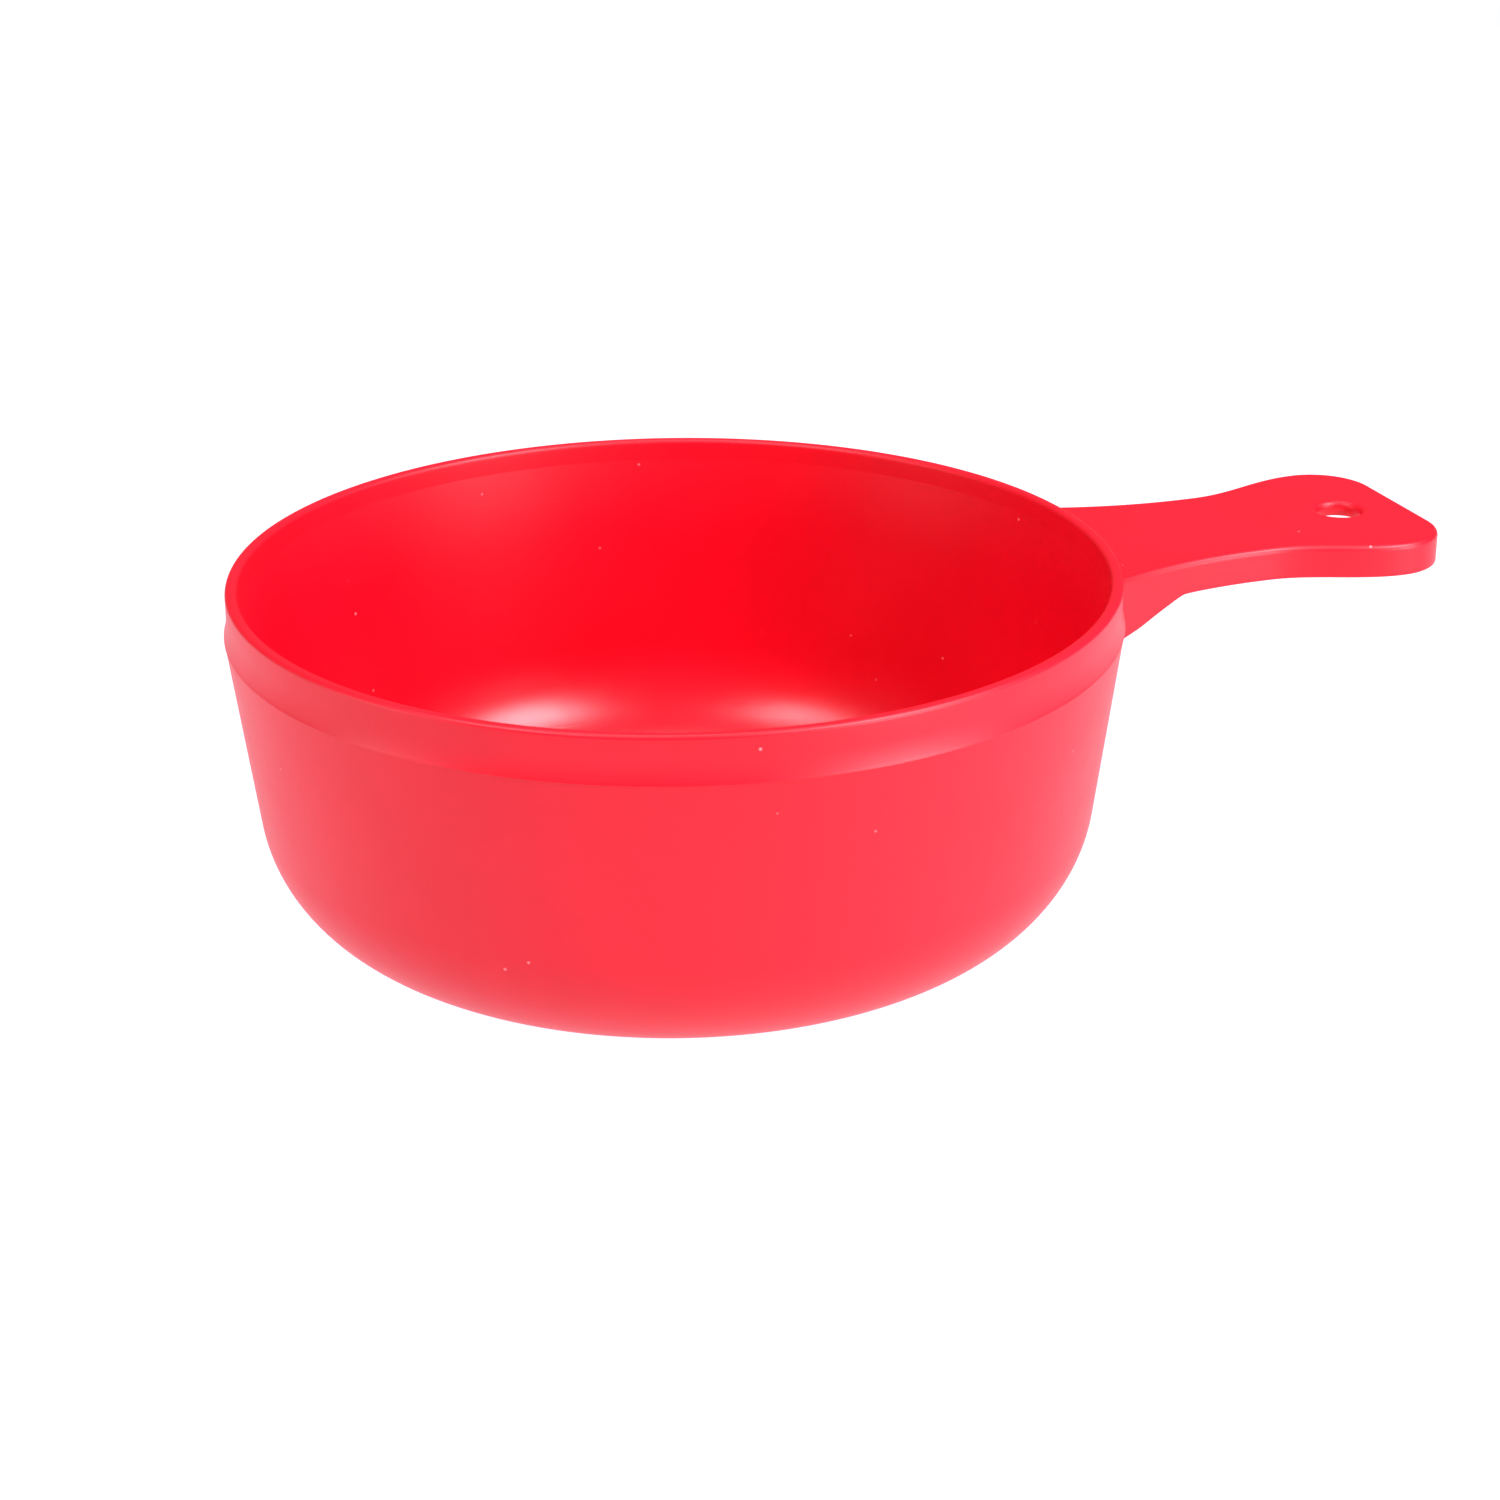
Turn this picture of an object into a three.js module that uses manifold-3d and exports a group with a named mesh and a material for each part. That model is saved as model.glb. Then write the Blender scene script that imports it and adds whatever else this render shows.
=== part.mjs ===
// A toy saucepan for sand: a round bowl with one flat side handle, moulded in one shot of red plastic.
// Millimetres, +Z up. The origin is the middle of the flat bottom, and the handle points along +X.
// The moulding is cut along its own features, so that each named mesh is one region of the real piece.
import * as THREE from "three";
import { mergeVertices } from "three/addons/utils/BufferGeometryUtils.js";
import Module from "manifold-3d";

const wasm = await Module();
wasm.setup();

// Bowl
const panHeight = 65;
const mouthRadius = 80; // outside of the lip
const floorThickness = 2.2;
const cornerRadius = 25.4; // outside bend from the flat bottom to the wall
const wallLean = THREE.MathUtils.degToRad(7.3); // outside of the wall, from upright
const floorMargin = 3; // flat ring that the wall's region keeps outside the floor disc

// Collar round the mouth
const collarHeight = 8.5;
const flareHeight = 4.5; // lower stretch of the collar, where it spreads to the parting line
const partingFlare = 0.6; // how far the parting line stands out from the lip
const shoulder = 0.1; // how far the wall starts inside the parting line
const lipThickness = 2.2;
const lipRounding = 0.7;
const landHeight = 4; // near-upright stretch inside the mouth
const landDraft = THREE.MathUtils.degToRad(1);

// Handle, an open-bottomed channel
const handleDrop = 4.3; // its top below the lip
const handleDepth = 6.3; // top face to the lower edge of the turned-down walls
const handleTopThickness = 2.8;
const handleWall = 2;
const handleLength = 67.8; // lip to the far end
const waistDistance = 30; // lip to the middle of the waist
const waistHalfWidth = 16.6;
const waistLength = 2;
const headHalfWidth = 22.8;
const headCorner = 11.2;
const rootFlareRadius = 82;
const gussetReach = 12.7; // lip to the kink in the lower edge
const gussetDrop = 5.8; // extra depth of the side walls at the lip's radius
const holeFromEnd = 13.1; // far end to the middle of the hanging hole
const holeRadius = 4.3;

// Joints between the regions, and fineness
const rootGap = 0.3; // between the bowl's outside and the ends of the handle that follow it
const rounds = 96;
const cornerSteps = 7;
const arcSteps = 5;

const collarFoot = panHeight - collarHeight;
const partingRadius = mouthRadius + partingFlare;
const wallTopRadius = partingRadius - shoulder;
const wallFootHeight = cornerRadius * (1 - Math.sin(wallLean));
const wallFootRadius = wallTopRadius - Math.tan(wallLean) * (collarFoot - wallFootHeight);
const flatRadius = wallFootRadius - cornerRadius * Math.cos(wallLean);
const floorRadius = flatRadius - floorMargin;
const innerCorner = cornerRadius - floorThickness;
const landFoot = panHeight - landHeight;
const landTopRadius = mouthRadius - lipThickness;
const landFootRadius = landTopRadius - landHeight * Math.tan(landDraft);

const handleTop = panHeight - handleDrop;
const plateUnderside = handleTop - handleTopThickness;
const channelEdge = handleTop - handleDepth;
const waistX = mouthRadius + waistDistance;
const handleEnd = mouthRadius + handleLength;
const headX = handleEnd - headCorner;
const holeX = handleEnd - holeFromEnd;

// The straight inside wall touches the inside corner's arc, and this is the angle of that point.
function innerWallAngle() {
  const across = landFootRadius - flatRadius;
  const up = landFoot - cornerRadius;
  return Math.atan2(up, across) - Math.acos(innerCorner / Math.hypot(across, up));
}

// Radius of the inside wall at a height between the corner and the land.
function innerRadiusAt(height) {
  const angle = innerWallAngle();
  const touchRadius = flatRadius + innerCorner * Math.cos(angle);
  const touchHeight = cornerRadius + innerCorner * Math.sin(angle);
  const share = (height - touchHeight) / (landFoot - touchHeight);
  return touchRadius + share * (landFootRadius - touchRadius);
}

// Points round an arc in the bowl's section, from one angle to another, both ends included.
function sectionArc(radius, from, to, steps) {
  const points = [];
  for (let i = 0; i <= steps; i++) {
    const angle = from + ((to - from) * i) / steps;
    points.push([flatRadius + radius * Math.cos(angle), cornerRadius + radius * Math.sin(angle)]);
  }
  return points;
}

// Outside of the collar, from the parting line up to the lip's rounding, moved out by a clearance.
function collarOutside(clearance) {
  return [
    [partingRadius + clearance, collarFoot],
    [mouthRadius + partingFlare / 4 + clearance, collarFoot + flareHeight / 2],
    [mouthRadius + clearance, collarFoot + flareHeight],
    [mouthRadius + clearance, panHeight - lipRounding],
  ];
}

// A ring or disc about +Z from its closed section of [radius, height] points, walked anticlockwise.
function turned(section) {
  const profile = section.map(([radius, height]) => new THREE.Vector2(radius, height));
  if (section[0][0] > 0) profile.push(profile[0].clone());
  return new THREE.LatheGeometry(profile, rounds).rotateX(Math.PI / 2);
}

function solidOf(geometry) {
  const bare = geometry.clone();
  bare.deleteAttribute("normal");
  bare.deleteAttribute("uv");
  const merged = mergeVertices(bare, 1e-4);
  const vertProperties = merged.attributes.position.array;
  const triVerts = new Uint32Array(merged.index.array);
  return new wasm.Manifold(new wasm.Mesh({ numProp: 3, vertProperties, triVerts }));
}

function geometryOf(solid) {
  const { vertProperties, triVerts } = solid.getMesh();
  const geometry = new THREE.BufferGeometry();
  geometry.setAttribute("position", new THREE.BufferAttribute(vertProperties, 3));
  geometry.setIndex(new THREE.BufferAttribute(triVerts, 1));
  geometry.computeVertexNormals();
  return geometry;
}

const bowlFloor = turned([
  [0, 0],
  [floorRadius, 0],
  [floorRadius, floorThickness],
  [0, floorThickness],
]);

const bowlWall = turned([
  [floorRadius, 0],
  ...sectionArc(cornerRadius, -Math.PI / 2, -wallLean, cornerSteps),
  [wallTopRadius, collarFoot],
  [innerRadiusAt(collarFoot), collarFoot],
  ...sectionArc(innerCorner, innerWallAngle(), -Math.PI / 2, cornerSteps),
  [floorRadius, floorThickness],
]);

const rimCollar = turned([
  ...collarOutside(0),
  [mouthRadius - lipRounding, panHeight],
  [landTopRadius + lipRounding, panHeight],
  [landTopRadius, panHeight - lipRounding],
  [landFootRadius, landFoot],
  [innerRadiusAt(collarFoot), collarFoot],
]);

// Everything inside the bowl's outer surface and its clearance, which the handle's root is cut back from.
const bowlEnvelope = solidOf(
  turned([
    [0, -rootGap],
    ...sectionArc(cornerRadius + rootGap, -Math.PI / 2, -wallLean, cornerSteps),
    [wallTopRadius + rootGap, collarFoot],
    ...collarOutside(rootGap),
    [0, panHeight],
  ]),
);

// One side of the handle's outline seen from above, at positive Y and moved in by the inset: from the root
// inside the bowl, round the flare to the waist, then along the neck's S-bend to the widest place of the head.
function sidePath(inset) {
  const rootX = mouthRadius - waistHalfWidth / 2;
  const flareX = waistX - waistLength / 2;
  const neckX = waistX + waistLength / 2;
  const flare = rootFlareRadius + inset;
  const down = -Math.PI / 2;
  const flareStart = down - Math.asin((flareX - rootX) / flare);
  const path = new THREE.Path();
  path.absarc(flareX, waistHalfWidth + rootFlareRadius, flare, flareStart, down, false);
  const points = path.getPoints(arcSteps);
  const reach = headX - neckX;
  const rise = headHalfWidth - waistHalfWidth;
  const steps = 3 * arcSteps;
  for (let i = 0; i <= steps; i++) {
    const phase = (Math.PI * i) / steps;
    const x = neckX + (reach * i) / steps;
    const y = waistHalfWidth + (rise * (1 - Math.cos(phase))) / 2;
    const slope = Math.atan2(rise * Math.PI * Math.sin(phase), 2 * reach);
    points.push(new THREE.Vector2(x + inset * Math.sin(slope), y - inset * Math.cos(slope)));
  }
  return points;
}

// The head's two corners and flat end, from the widest place at positive Y round to the one at negative Y.
function endPath(inset) {
  const centreY = headHalfWidth - headCorner;
  const path = new THREE.Path();
  path.absarc(headX, centreY, headCorner - inset, Math.PI / 2, 0, true);
  path.absarc(headX, -centreY, headCorner - inset, 0, -Math.PI / 2, true);
  return path.getPoints(arcSteps);
}

function mirrored(points) {
  return points.map((point) => new THREE.Vector2(point.x, -point.y)).reverse();
}

function upright(outline, bottom, top, holes = []) {
  const shape = new THREE.Shape(outline);
  shape.holes = holes;
  const depth = top - bottom;
  return new THREE.ExtrudeGeometry(shape, { depth, bevelEnabled: false }).translate(0, 0, bottom);
}

function cutToBowl(geometry) {
  return geometryOf(solidOf(geometry).subtract(bowlEnvelope));
}

const hangingHole = new THREE.Path().absarc(holeX, 0, holeRadius, 0, 2 * Math.PI, false);
const handleTopPlate = cutToBowl(
  upright([...sidePath(0), ...endPath(0), ...mirrored(sidePath(0))], plateUnderside, handleTop, [hangingHole]),
);

const sideOutline = [...sidePath(0), ...sidePath(handleWall).reverse()];
const endOutline = [...endPath(0), ...endPath(handleWall).reverse()];
const leftSide = cutToBowl(upright(sideOutline, channelEdge, plateUnderside));
const rightSide = cutToBowl(upright(mirrored(sideOutline), channelEdge, plateUnderside));
const handleEndWall = upright(endOutline, channelEdge, plateUnderside);

// The wedge above the gussets' sloping lower edge, which runs from the kink down to the bowl.
function gussetWedge() {
  const kinkX = mouthRadius + gussetReach;
  const insideX = mouthRadius - gussetReach;
  const slope = gussetDrop / gussetReach;
  const section = new THREE.Shape([
    new THREE.Vector2(insideX, handleTop),
    new THREE.Vector2(insideX, channelEdge - slope * (kinkX - insideX)),
    new THREE.Vector2(kinkX + handleDepth / slope, handleTop),
  ]);
  const depth = 4 * headHalfWidth;
  const block = new THREE.ExtrudeGeometry(section, { depth, bevelEnabled: false });
  return solidOf(block.rotateX(Math.PI / 2).translate(0, depth / 2, 0));
}

function gusset(outline) {
  const block = solidOf(upright(outline, channelEdge - 2 * gussetDrop, channelEdge));
  return geometryOf(block.intersect(gussetWedge()).subtract(bowlEnvelope));
}

const leftGusset = gusset(sideOutline);
const rightGusset = gusset(mirrored(sideOutline));

const pan = new THREE.Group();

function addRegion(name, geometry) {
  const material = new THREE.MeshStandardMaterial({ color: 0xf32238, roughness: 0.38, metalness: 0 });
  const mesh = new THREE.Mesh(geometry, material);
  mesh.name = name;
  pan.add(mesh);
}

addRegion("bowl_floor", bowlFloor);
addRegion("bowl_wall", bowlWall);
addRegion("rim_collar", rimCollar);
addRegion("handle_top", handleTopPlate);
addRegion("handle_left_side", leftSide);
addRegion("handle_right_side", rightSide);
addRegion("handle_end", handleEndWall);
addRegion("left_gusset", leftGusset);
addRegion("right_gusset", rightGusset);

export default pan;
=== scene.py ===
import math
import bmesh
import bpy
from mathutils import Matrix, Vector, geometry


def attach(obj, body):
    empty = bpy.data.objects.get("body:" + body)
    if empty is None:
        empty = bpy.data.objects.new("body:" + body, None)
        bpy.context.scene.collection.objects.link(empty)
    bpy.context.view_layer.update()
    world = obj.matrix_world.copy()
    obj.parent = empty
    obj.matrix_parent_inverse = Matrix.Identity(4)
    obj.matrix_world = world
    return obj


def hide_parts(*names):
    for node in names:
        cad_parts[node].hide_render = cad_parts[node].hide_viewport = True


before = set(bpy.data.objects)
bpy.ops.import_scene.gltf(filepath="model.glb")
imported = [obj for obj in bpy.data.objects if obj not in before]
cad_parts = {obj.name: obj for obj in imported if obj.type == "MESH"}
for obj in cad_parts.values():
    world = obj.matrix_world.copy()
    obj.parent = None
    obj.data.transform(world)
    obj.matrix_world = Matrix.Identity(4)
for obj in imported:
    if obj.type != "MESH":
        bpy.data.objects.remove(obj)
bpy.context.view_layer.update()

# The viewpoint: a long lens a little over half a metre away, looking down into the pan with the
# handle pointing off to the right and slightly away.
camera_place = (-0.16844, -0.51594, 0.25447)
view_bearing = 19.483  # degrees right of +Y
view_dip = 22.5216
view_roll = -0.2308
camera_data = bpy.data.cameras.new("camera")
camera_data.lens = 76.8
camera_data.sensor_width = 36
camera_data.clip_start = 0.01
camera_data.clip_end = 20
camera = bpy.data.objects.new("camera", camera_data)
bpy.context.scene.collection.objects.link(camera)
bearing_turn = Matrix.Rotation(math.radians(-view_bearing), 4, "Z")
dip_turn = Matrix.Rotation(math.radians(90 - view_dip), 4, "X")
roll_turn = Matrix.Rotation(math.radians(view_roll), 4, "Z")
camera.matrix_world = Matrix.Translation(camera_place) @ bearing_turn @ dip_turn @ roll_turn
bpy.context.scene.camera = camera

# The bowl's floor: a flat disc of red polypropylene, the middle of the one-shot moulding. The melt
# enters here, so the underside has the gate's small dimple with the snapped-off nub in it.
mm = 0.001
floor_thickness = 2.2
floor_radius = 50.92
lap = 1  # how far one mesh runs into the next one's plastic
dimple_radius = 6.5
dimple_depth = 0.5
nub_radius = 1.3
nub_tip = 0.2
plastic_red = (0.77, 0.0018, 0.0145, 1)
plastic_red_thin = (0.81, 0.0028, 0.018, 1)
speck_pink = (0.95, 0.22, 0.24, 1)


def red_plastic(name, outside_roughness, inside_roughness):
    """Satin red polypropylene. The mould's core, which makes the inside, is polished more."""
    material = bpy.data.materials.new(name)
    material.use_nodes = True
    tree = material.node_tree
    shader = tree.nodes["Principled BSDF"]
    shader.inputs["IOR"].default_value = 1.49
    shader.inputs["Specular IOR Level"].default_value = 0.42

    def node(kind, **settings):
        made = tree.nodes.new(kind)
        for key, value in settings.items():
            setattr(made, key, value)
        return made

    def link(a, b):
        tree.links.new(a, b)

    place = node("ShaderNodeTexCoord").outputs["Object"]

    def ramp(source, low, high, from_value=(0, 0, 0, 1), to_value=(1, 1, 1, 1)):
        made = node("ShaderNodeValToRGB")
        made.color_ramp.elements[0].position = low
        made.color_ramp.elements[0].color = from_value
        made.color_ramp.elements[1].position = high
        made.color_ramp.elements[1].color = to_value
        link(source, made.inputs["Fac"])
        return made.outputs["Color"]

    def noise(scale, detail, roughness=0.5):
        made = node("ShaderNodeTexNoise")
        made.inputs["Scale"].default_value = scale
        made.inputs["Detail"].default_value = detail
        made.inputs["Roughness"].default_value = roughness
        link(place, made.inputs["Vector"])
        return made.outputs["Fac"]

    def blend(kind, factor, a, b):
        made = node("ShaderNodeMix", data_type="RGBA", blend_type=kind)
        if isinstance(factor, float):
            made.inputs[0].default_value = factor
        else:
            link(factor, made.inputs[0])
        for socket, value in ((made.inputs[6], a), (made.inputs[7], b)):
            if isinstance(value, tuple):
                socket.default_value = value
            else:
                link(value, socket)
        return made.outputs[2]

    # Colour: cloudy pigment 30 mm across, finer mottling, and a few pale specks.
    clouds = ramp(noise(32, 3), 0.35, 0.68, plastic_red, plastic_red_thin)
    mottle = ramp(noise(210, 5, 0.6), 0.3, 0.75, (0.965, 0.965, 0.965, 1), (1, 1, 1, 1))
    pigment = blend("MULTIPLY", 1.0, clouds, mottle)
    cells = node("ShaderNodeTexVoronoi", feature="F1")
    cells.inputs["Scale"].default_value = 330
    link(place, cells.inputs["Vector"])
    dots = ramp(cells.outputs["Distance"], 0.05, 0.12, (1, 1, 1, 1), (0, 0, 0, 1))
    chosen = ramp(cells.outputs["Color"], 0.86, 0.9)
    specks = blend("MULTIPLY", 1.0, dots, chosen)
    link(blend("MIX", specks, pigment, speck_pink), shader.inputs["Base Color"])

    # Gloss: the inside faces look towards the middle of the bowl, the outside faces away from it. Stacking
    # in the set has rubbed the top of the inside duller.
    shape = node("ShaderNodeNewGeometry")
    flat_place = node("ShaderNodeVectorMath", operation="MULTIPLY")
    flat_place.inputs[1].default_value = (1, 1, 0)
    link(place, flat_place.inputs[0])
    outwards = node("ShaderNodeVectorMath", operation="DOT_PRODUCT")
    link(flat_place.outputs["Vector"], outwards.inputs[0])
    link(shape.outputs["Normal"], outwards.inputs[1])
    heights = node("ShaderNodeSeparateXYZ")
    link(place, heights.inputs["Vector"])
    rubbed = node("ShaderNodeMapRange", interpolation_type="SMOOTHSTEP")
    rubbed.inputs["From Min"].default_value = 0.044
    rubbed.inputs["From Max"].default_value = 0.064
    rubbed.inputs["To Min"].default_value = inside_roughness
    rubbed.inputs["To Max"].default_value = 0.43
    link(heights.outputs["Z"], rubbed.inputs["Value"])
    facing = node("ShaderNodeMapRange")
    link(rubbed.outputs["Result"], facing.inputs["To Min"])
    facing.inputs["From Min"].default_value = -0.004
    facing.inputs["From Max"].default_value = 0.004
    facing.inputs["To Max"].default_value = outside_roughness
    link(outwards.outputs["Value"], facing.inputs["Value"])
    patches = node("ShaderNodeMapRange")
    patches.inputs["To Min"].default_value = -0.035
    patches.inputs["To Max"].default_value = 0.035
    link(noise(95, 4, 0.6), patches.inputs["Value"])
    gloss = node("ShaderNodeMath", operation="ADD")
    link(facing.outputs["Result"], gloss.inputs[0])
    link(patches.outputs["Result"], gloss.inputs[1])
    link(gloss.outputs["Value"], shader.inputs["Roughness"])

    # Relief: the mould's fine matt grain, a faint orange peel, and hair scratches from handling.
    grain = node("ShaderNodeBump")
    grain.inputs["Strength"].default_value = 0.35
    grain.inputs["Distance"].default_value = 0.00002
    link(noise(3600, 2), grain.inputs["Height"])
    peel = node("ShaderNodeBump")
    peel.inputs["Strength"].default_value = 0.5
    peel.inputs["Distance"].default_value = 0.00006
    link(noise(140, 2), peel.inputs["Height"])
    link(grain.outputs["Normal"], peel.inputs["Normal"])
    stretched = node("ShaderNodeMapping")
    stretched.inputs["Rotation"].default_value = (0.5, 0.9, 0.3)
    stretched.inputs["Scale"].default_value = (60, 60, 1400)
    link(place, stretched.inputs["Vector"])
    hairs = node("ShaderNodeTexNoise")
    hairs.inputs["Scale"].default_value = 1
    hairs.inputs["Detail"].default_value = 1
    link(stretched.outputs["Vector"], hairs.inputs["Vector"])
    scratches = node("ShaderNodeBump")
    scratches.inputs["Strength"].default_value = 0.3
    scratches.inputs["Distance"].default_value = 0.00002
    link(ramp(hairs.outputs["Fac"], 0.70, 0.74), scratches.inputs["Height"])
    link(peel.outputs["Normal"], scratches.inputs["Normal"])
    link(scratches.outputs["Normal"], shader.inputs["Normal"])
    return material


def finish_piece(name, points, faces, material, *nodes):
    """A closed smooth-shaded mesh from points in millimetres, which stands for the named regions."""
    mesh = bpy.data.meshes.new(name)
    mesh.from_pydata([(x * mm, y * mm, z * mm) for x, y, z in points], [], faces)
    welded = bmesh.new()
    welded.from_mesh(mesh)
    bmesh.ops.remove_doubles(welded, verts=welded.verts, dist=1e-7)
    bmesh.ops.dissolve_degenerate(welded, edges=welded.edges, dist=1e-8)
    bmesh.ops.recalc_face_normals(welded, faces=welded.faces)
    welded.to_mesh(mesh)
    welded.free()
    mesh.polygons.foreach_set("use_smooth", [True] * len(mesh.polygons))
    mesh.set_sharp_from_angle(angle=math.radians(40))
    mesh.materials.append(material)
    piece = bpy.data.objects.new(name, mesh)
    bpy.context.scene.collection.objects.link(piece)
    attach(piece, "root")
    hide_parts(*nodes)


def arc(centre_x, centre_z, radius, start, stop, steps):
    """Points round an arc of a section, from one angle in degrees to another."""
    points = []
    for i in range(steps + 1):
        angle = math.radians(start + (stop - start) * i / steps)
        points.append((centre_x + radius * math.cos(angle), centre_z + radius * math.sin(angle)))
    return points


def turned(section, rounds=320):
    """Points and faces of a closed section of (radius, height) carried once round the axis."""
    points = []
    faces = []
    count = len(section)
    for i in range(rounds):
        angle = 2 * math.pi * i / rounds
        for radius, height in section:
            points.append((radius * math.cos(angle), radius * math.sin(angle), height))
    for i in range(rounds):
        here = i * count
        there = (i + 1) % rounds * count
        for k in range(count):
            after = (k + 1) % count
            if section[k][0] == 0 and section[after][0] == 0:
                continue
            faces.append((here + k, there + k, there + after, here + after))
    return points, faces


floor_section = [
    (0, nub_tip + 0.02),
    (nub_radius - 0.4, nub_tip),
    (nub_radius, nub_tip + 0.12),
    (nub_radius + 0.15, dimple_depth),
    (dimple_radius - 1.1, dimple_depth),
    (dimple_radius - 0.8, dimple_depth - 0.06),
    (dimple_radius - 0.2, 0.05),
    (dimple_radius + 0.1, 0),
    (20, 0),
    (floor_radius, 0),
    (floor_radius + lap, 0.6),
    (floor_radius + lap, floor_thickness - 0.1),
    (floor_radius, floor_thickness),
    (20, floor_thickness),
    (0, floor_thickness),
]
bowl_plastic = red_plastic("bowl_plastic", outside_roughness=0.42, inside_roughness=0.31)
finish_piece("bowl_floor_disc", *turned(floor_section), bowl_plastic, "bowl_floor")

# The bowl's wall: the same shot of plastic, 2.2 mm thick, bent up from the floor in a wide corner and
# leaning outwards, so that the pan slips off the mould's core and empty pans nest. Where two regions
# meet, the meshes lap inside the plastic, and only the bend, crease or edge between them shows.
corner_radius = 25.4
wall_lean = 7.3
flat_radius = floor_radius
crease_height = 56.5
lap_radius = 79  # inside the plastic, between the wall's and the collar's two faces
wall_top_radius = 80.5
inner_corner = corner_radius - floor_thickness
land_foot_radius = 77.73
land_foot = 61
reach = land_foot_radius - flat_radius
climb = land_foot - corner_radius
inner_angle = math.atan2(climb, reach) - math.acos(inner_corner / math.hypot(reach, climb))
inner_lean = -math.degrees(inner_angle)
touch_radius = flat_radius + inner_corner * math.cos(inner_angle)
touch_height = corner_radius + inner_corner * math.sin(inner_angle)


def inner_radius(height):
    """Radius of the straight inside wall."""
    share = (height - touch_height) / (land_foot - touch_height)
    return touch_radius + share * (land_foot_radius - touch_radius)


wall_section = [(flat_radius - lap, 0.8)]
wall_section += arc(flat_radius, corner_radius, corner_radius, -90, -wall_lean, 40)
wall_foot_radius, wall_foot_height = wall_section[-1]
for i in range(1, 7):
    share = i / 6
    wall_section.append(
        (
            wall_foot_radius + share * (wall_top_radius - wall_foot_radius),
            wall_foot_height + share * (crease_height - wall_foot_height),
        )
    )
wall_section += [(wall_top_radius - 0.35, crease_height + 0.5), (lap_radius, 60.5)]
for i in range(7):
    height = land_foot + 0.3 + (touch_height - land_foot - 0.3) * i / 7
    wall_section.append((inner_radius(height), height))
wall_section += arc(flat_radius, corner_radius, inner_corner, -inner_lean, -90, 40)
wall_section.append((flat_radius - lap, floor_thickness - 0.7))
finish_piece("bowl_wall_shell", *turned(wall_section), bowl_plastic, "bowl_wall")

# The rim collar: the stiff band round the mouth. Its outside spreads down to the mould's parting line,
# which shows as a crease above the wall, and a near-upright land runs round inside the rounded lip.
pan_height = 65
mouth_radius = 80
parting_flare = 0.6
flare_top = crease_height + 4.5
land_top_radius = 77.8
lip_round = 0.8
collar_section = [(wall_top_radius - 0.3, crease_height + 0.02)]
collar_section += arc(wall_top_radius - 0.05, crease_height + 0.15, 0.15, -60, 15, 5)
for i in range(1, 15):
    height = crease_height + 0.2 + (flare_top - crease_height - 0.2) * i / 14
    spread = (flare_top - height) / (flare_top - crease_height)
    collar_section.append((mouth_radius + parting_flare * spread * spread, height))
collar_section.append((mouth_radius, flare_top + 1.5))
collar_section += arc(mouth_radius - lip_round, pan_height - lip_round, lip_round, 0, 90, 10)
collar_section += arc(land_top_radius + lip_round, pan_height - lip_round, lip_round, 90, 180, 10)
land_slope = (land_top_radius - land_foot_radius) / (pan_height - land_foot)
collar_section += [
    (land_foot_radius + land_slope * 2, land_foot + 2),
    (land_foot_radius, land_foot),
    (land_foot_radius - land_slope, land_foot - 1),
    (lap_radius, 57.6),
]
finish_piece("rim_collar_band", *turned(collar_section), bowl_plastic, "rim_collar")

# The handle's side walls: thin plastic turned down from the handle's edges. Each deepens towards the
# bowl into a gusset, whose sloping lower edge braces the handle against the collar and the wall.
handle_top = 60.7
plate_underside = 57.9
channel_edge = 54.4
wall_thickness = 2
flare_end = 109
flare_radius = 82
waist_half = 16.6
neck_start = 111
head_x = 136.6
head_half = 22.8
head_corner = 11.2
kink_x = 92.7
toe_x = 83  # where the gusset's slope eases off beside the collar
gusset_slope = 0.47
root_bite = 0.35  # how far the handle runs into the collar and the wall
outer_round = 0.45
inner_round = 0.35
plate_fillet = 0.8
handle_plastic = red_plastic("handle_plastic", outside_roughness=0.42, inside_roughness=0.42)


def bowl_outside(height):
    """Radius of the bowl's outside at a height."""
    if height <= crease_height:
        return wall_top_radius - math.tan(math.radians(wall_lean)) * (crease_height - height)
    spread = max(0, (flare_top - height) / (flare_top - crease_height))
    return mouth_radius + parting_flare * spread * spread


def flare_point(angle, inset):
    """A point of the flare near the root, seen from above, at an angle in radians."""
    radius = flare_radius + inset
    return flare_end + radius * math.cos(angle), waist_half + flare_radius + radius * math.sin(angle)


def flare_start(height, inset):
    """Angle at which the flare meets the bowl's outside."""
    low, high = math.radians(-150), math.radians(-90)
    target = bowl_outside(height) - root_bite
    for _ in range(50):
        middle = (low + high) / 2
        if math.hypot(*flare_point(middle, inset)) < target:
            low = middle
        else:
            high = middle
    return (low + high) / 2


def neck_point(share, inset):
    """A point of the S-bend from the waist to the widest place of the head."""
    rise = head_half - waist_half
    x = neck_start + share * (head_x - neck_start)
    y = waist_half + rise * (1 - math.cos(math.pi * share)) / 2
    slope = math.atan2(rise * math.pi * math.sin(math.pi * share), 2 * (head_x - neck_start))
    return x + inset * math.sin(slope), y - inset * math.cos(slope)


def side_point(step, height, inset):
    """A point of the handle's edge at positive Y: step 0 to 1 is the flare, 1 to 2 the neck."""
    if step <= 1:
        start = flare_start(height, inset)
        return flare_point(start + step * (math.radians(-90) - start), inset)
    return neck_point(step - 1, inset)


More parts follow.
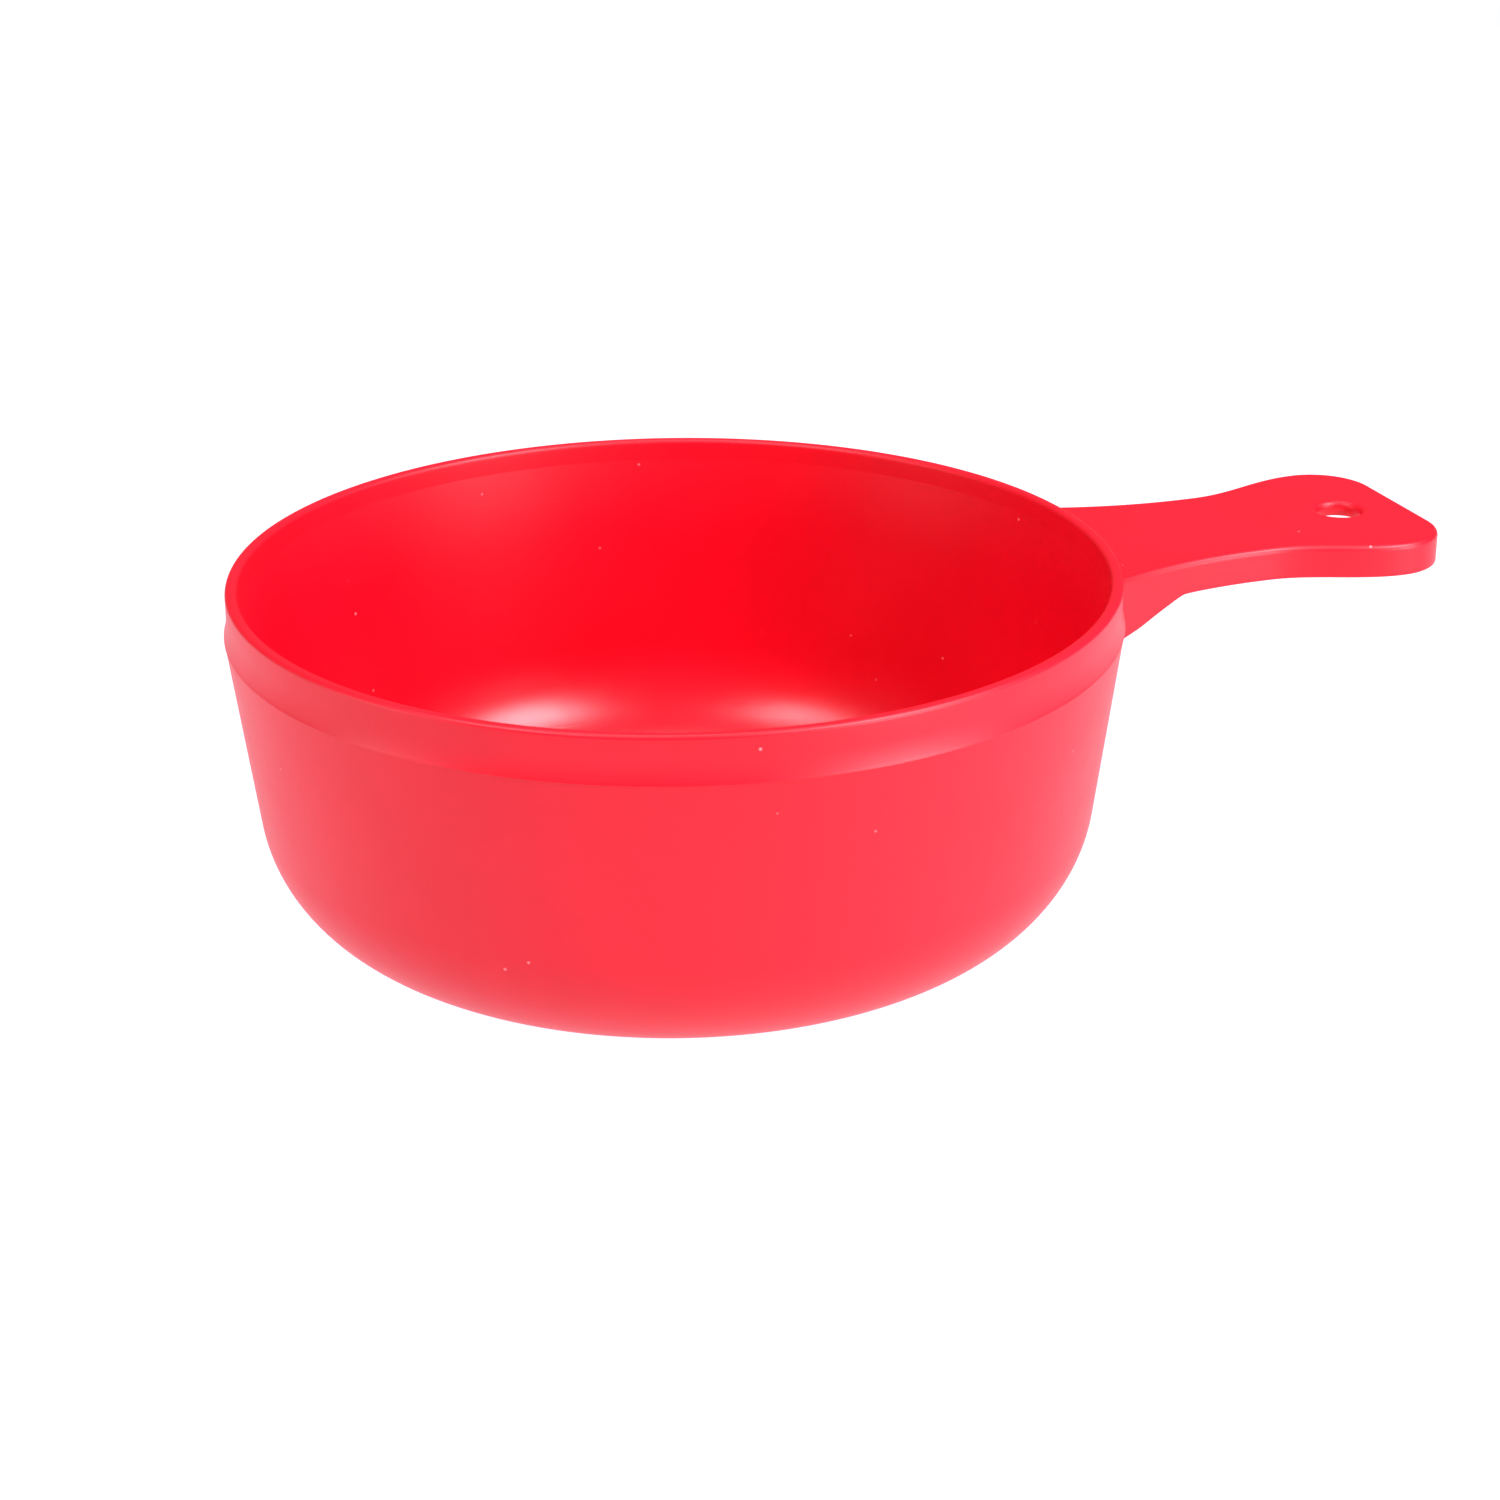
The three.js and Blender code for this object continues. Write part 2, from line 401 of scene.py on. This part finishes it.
def head_point(step, inset):
    """A point round the head's end: 0 to 1 the first corner, 1 to 2 the flat end, 2 to 3 the other."""
    centre = head_half - head_corner
    radius = head_corner - inset
    if step <= 1:
        angle = math.radians(90 * (1 - step))
        return head_x + radius * math.cos(angle), centre + radius * math.sin(angle)
    if step <= 2:
        return head_x + radius, centre * (3 - 2 * step)
    angle = math.radians(-90 * (step - 2))
    return head_x + radius * math.cos(angle), -centre + radius * math.sin(angle)


def lower_edge(x):
    """Height of the side wall's lower edge: level along the handle, then down the gusset's slope."""
    along = kink_x - x
    drop = gusset_slope * (along + math.sqrt(along * along + 0.35)) / 2
    past = toe_x - x
    relief = 0.4 * gusset_slope * (past + math.sqrt(past * past + 0.5)) / 2
    return channel_edge - drop + relief


def wall_loop(bottom):
    """The side wall's section as (inset, height): rounded lower edge, filleted under the top plate."""
    loop = [(0, plate_underside)]
    for i in range(1, 8):
        loop.append((0, plate_underside + (bottom + outer_round - plate_underside) * i / 8))
    loop += arc(outer_round, bottom + outer_round, outer_round, 180, 270, 6)
    loop += arc(wall_thickness - inner_round, bottom + inner_round, inner_round, -90, 0, 6)
    loop.append((wall_thickness, (bottom + plate_underside) / 2))
    loop += arc(wall_thickness + plate_fillet, plate_underside - plate_fillet, plate_fillet, 180, 90, 6)
    return loop


def swept(stations):
    """Points and faces of a closed loop carried along stations, with both ends closed."""
    points = [point for station in stations for point in station]
    count = len(stations[0])
    faces = [tuple(range(count))]
    faces.append(tuple(reversed(range(len(points) - count, len(points)))))
    for s in range(len(stations) - 1):
        for k in range(count):
            after = (k + 1) % count
            a = s * count
            b = a + count
            faces.append((a + k, a + after, b + after, b + k))
    return points, faces


side_steps = [i / 56 for i in range(57)] + [1 + i / 48 for i in range(48)] + [1.996, 2]
for name, side, nodes in (
    ("handle_left_wall", 1, ("handle_left_side", "left_gusset")),
    ("handle_right_wall", -1, ("handle_right_side", "right_gusset")),
):
    stations = []
    for step in side_steps:
        station_x, _ = side_point(step, channel_edge, 0)
        station = []
        for inset, height in wall_loop(lower_edge(station_x)):
            x, y = side_point(step, height, inset)
            station.append((x, side * y, height))
        stations.append(station)
    finish_piece(name, *swept(stations), handle_plastic, *nodes)

# The handle's end wall: the same turned-down edge carried round the two corners and the flat end of
# the head, so the handle is a shallow channel, open underneath.
end_steps = [0, 0.004] + [i / 40 for i in range(1, 41)] + [1 + i / 10 for i in range(1, 11)]
end_steps += [2 + i / 40 for i in range(1, 40)] + [2.996, 3]
stations = []
for step in end_steps:
    station = []
    for inset, height in wall_loop(channel_edge):
        x, y = head_point(step, inset)
        station.append((x, y, height))
    stations.append(station)
finish_piece("handle_end_wall", *swept(stations), handle_plastic, "handle_end")

# The handle's top: a flat 2.8 mm plate with a softly rounded edge, and near its end the hanging hole,
# whose upper lip is rounded more than its lower one.
edge_round = 1.1
hole_x = 134.7
hole_radius = 4.3
hole_lip = 1.2
spacing = 3


def plate_loop(height, inset):
    """The plate's outline at a height: both sides, the end, and along the collar at the root."""
    loop = []
    for step in side_steps:
        x, y = side_point(step, handle_top, inset)
        loop.append((x, y, height))
    for step in end_steps[1:-1]:
        x, y = head_point(step, inset)
        loop.append((x, y, height))
    for step in reversed(side_steps):
        x, y = side_point(step, handle_top, inset)
        loop.append((x, -y, height))
    root = math.atan2(loop[0][1], loop[0][0])
    for i in range(1, 30):
        angle = -root + 2 * root * i / 30
        radius = mouth_radius - root_bite
        loop.append((radius * math.cos(angle), radius * math.sin(angle), height))
    return loop


def hole_loop(height, radius):
    angles = [2 * math.pi * i / 72 for i in range(72)]
    return [(hole_x + radius * math.cos(a), radius * math.sin(a), height) for a in angles]


def walls_between(loops, points, faces):
    """Adds bands of faces between loops of equal length."""
    for lower, upper in zip(loops, loops[1:]):
        start = len(points)
        points += lower + upper
        count = len(lower)
        for k in range(count):
            after = (k + 1) % count
            faces.append((start + k, start + after, start + count + after, start + count + k))


def inside(spot, outline):
    """Whether a spot is inside an outline."""
    crossings = 0
    for a, b in zip(outline, outline[1:] + outline[:1]):
        if (a.y > spot.y) != (b.y > spot.y) and spot.x < a.x + (spot.y - a.y) / (b.y - a.y) * (b.x - a.x):
            crossings += 1
    return crossings % 2 == 1


def plate_face(outer, inner, points, faces):
    """Adds a flat face between an outline and the hole, in triangles about one spacing long."""
    height = outer[0][2]
    corners = [Vector(point[:2]) for point in outer + inner]
    first = len(outer)
    outline = corners[:first]
    edges = [(i, (i + 1) % first) for i in range(first)]
    edges += [(first + i, first + (i + 1) % len(inner)) for i in range(len(inner))]
    hole = Vector((hole_x, 0))
    for i in range(23):
        stagger = 0.3 if i % 2 else -0.3
        for j in range(-7, 8):
            spot = Vector((mouth_radius + 0.5 + spacing * i, spacing * j + stagger))
            nearest = min((spot - corner).length for corner in corners)
            if nearest > 1.6 and inside(spot, outline) and (spot - hole).length > 6.5:
                corners.append(spot)
    places, _, triangles, *_ = geometry.delaunay_2d_cdt(corners, edges, [], 1, 1e-6)
    start = len(points)
    points += [(spot.x, spot.y, height) for spot in places]
    rim = (Vector(inner[0][:2]) - hole).length + 0.01
    for triangle in triangles:
        if max((places[i] - hole).length for i in triangle) > rim:
            faces.append(tuple(start + i for i in triangle))


edge_loops = [plate_loop(plate_underside, 0), plate_loop(handle_top - edge_round - 0.15, 0)]
for inset, height in arc(edge_round, handle_top - edge_round, edge_round, 180, 90, 6):
    edge_loops.append(plate_loop(height, inset))
edge_loops.append(plate_loop(handle_top, edge_round + 0.3))
hole_loops = [hole_loop(handle_top, hole_radius + hole_lip + 0.25)]
for radius, height in arc(hole_radius + hole_lip, handle_top - hole_lip, hole_lip, 90, 180, 6):
    hole_loops.append(hole_loop(height, radius))
hole_loops.append(hole_loop(plate_underside + 0.25, hole_radius))
hole_loops.append(hole_loop(plate_underside, hole_radius + 0.2))
points = []
faces = []
walls_between(edge_loops, points, faces)
walls_between(hole_loops, points, faces)
plate_face(edge_loops[-1], hole_loops[0], points, faces)
plate_face(edge_loops[0], hole_loops[-1], points, faces)
finish_piece("handle_top_plate", points, faces, handle_plastic, "handle_top")

# The ground: a sheet of matt white board, which the pan stands on. It is lit through from below, like a
# light table, so the pan's shadow doesn't show on it.
half = 0.75
board = bpy.data.meshes.new("white_board")
board_corners = [(-half, -half, 0), (half, -half, 0), (half, half, 0), (-half, half, 0)]
board.from_pydata(board_corners, [], [(0, 1, 2, 3)])
ground = bpy.data.objects.new("white_board", board)
bpy.context.scene.collection.objects.link(ground)
ground.location.z = -0.0002
paper = bpy.data.materials.new("white_board_paper")
paper.use_nodes = True
paper_shader = paper.node_tree.nodes["Principled BSDF"]
paper_shader.inputs["Roughness"].default_value = 0.9
paper_shader.inputs["Specular IOR Level"].default_value = 0.1
paper_shader.inputs["Emission Color"].default_value = (0.92, 0.89, 1, 1)
paper_shader.inputs["Emission Strength"].default_value = 1.13
fibres = paper.node_tree.nodes.new("ShaderNodeTexNoise")
fibres.inputs["Scale"].default_value = 900
fibres.inputs["Detail"].default_value = 3
tone = paper.node_tree.nodes.new("ShaderNodeValToRGB")
tone.color_ramp.elements[0].color = (0.11, 0.11, 0.11, 1)
tone.color_ramp.elements[1].color = (0.14, 0.14, 0.14, 1)
paper.node_tree.links.new(fibres.outputs["Fac"], tone.inputs["Fac"])
paper.node_tree.links.new(tone.outputs["Color"], paper_shader.inputs["Base Color"])
board.materials.append(paper)

# The light: softboxes high and low on both sides in front, the brighter pair to the right, a wide dim
# one overhead, and a dim room. Looking straight at the room shows a white backdrop.
lamps_aim = 0.04  # height that the lamps point at, in metres
world = bpy.data.worlds.new("room")
bpy.context.scene.world = world
world.use_nodes = True
room = world.node_tree
room_light = room.nodes["Background"]
room_light.inputs["Color"].default_value = (0.94, 0.91, 1, 1)
direction = room.nodes.new("ShaderNodeTexCoord")
frontness = room.nodes.new("ShaderNodeVectorMath")
frontness.operation = "DOT_PRODUCT"
frontness.inputs[1].default_value = (-0.33, -0.94, 0)  # from the pan towards the viewpoint
room.links.new(direction.outputs["Generated"], frontness.inputs[0])
brightness = room.nodes.new("ShaderNodeMapRange")
brightness.interpolation_type = "SMOOTHSTEP"
brightness.inputs["From Min"].default_value = -0.7
brightness.inputs["From Max"].default_value = 0.7
brightness.inputs["To Min"].default_value = 0.19
brightness.inputs["To Max"].default_value = 0.11
room.links.new(frontness.outputs["Value"], brightness.inputs["Value"])
room.links.new(brightness.outputs["Result"], room_light.inputs["Strength"])
backdrop = room.nodes.new("ShaderNodeBackground")
seen = room.nodes.new("ShaderNodeLightPath")
either = room.nodes.new("ShaderNodeMixShader")
room.links.new(seen.outputs["Is Camera Ray"], either.inputs["Fac"])
room.links.new(room_light.outputs["Background"], either.inputs[1])
room.links.new(backdrop.outputs["Background"], either.inputs[2])
backdrop.inputs["Color"].default_value = (1, 1, 1, 1)
room.links.new(either.outputs["Shader"], room.nodes["World Output"].inputs["Surface"])


def softbox(name, bearing, elevation, distance, size, power):
    """A square area light that faces the pan. The bearing is in degrees to the right of the view."""
    lamp = bpy.data.lights.new(name, "AREA")
    lamp.shape = "SQUARE"
    lamp.size = size
    lamp.energy = power
    lamp.color = (0.95, 0.91, 1)
    light = bpy.data.objects.new(name, lamp)
    bpy.context.scene.collection.objects.link(light)
    around = math.radians(view_bearing + bearing)
    up = math.radians(elevation)
    towards = Vector((math.sin(around) * math.cos(up), math.cos(around) * math.cos(up), math.sin(up)))
    light.location = Vector((0, 0, lamps_aim)) + distance * towards
    light.rotation_euler = towards.to_track_quat("Z", "Y").to_euler()


softbox("right_softbox", 117, 48, 1.3, 0.45, 20)
softbox("left_softbox", -127, 56, 1.3, 0.38, 8.4)
softbox("low_right_softbox", 124, 8, 1.3, 0.55, 13.5)
softbox("low_left_softbox", -109, 8, 1.3, 0.55, 4.7)
softbox("overhead_softbox", 0, 78, 1.6, 0.55, 7.5)

scene = bpy.context.scene
scene.view_settings.view_transform = "Standard"
scene.view_settings.look = "None"
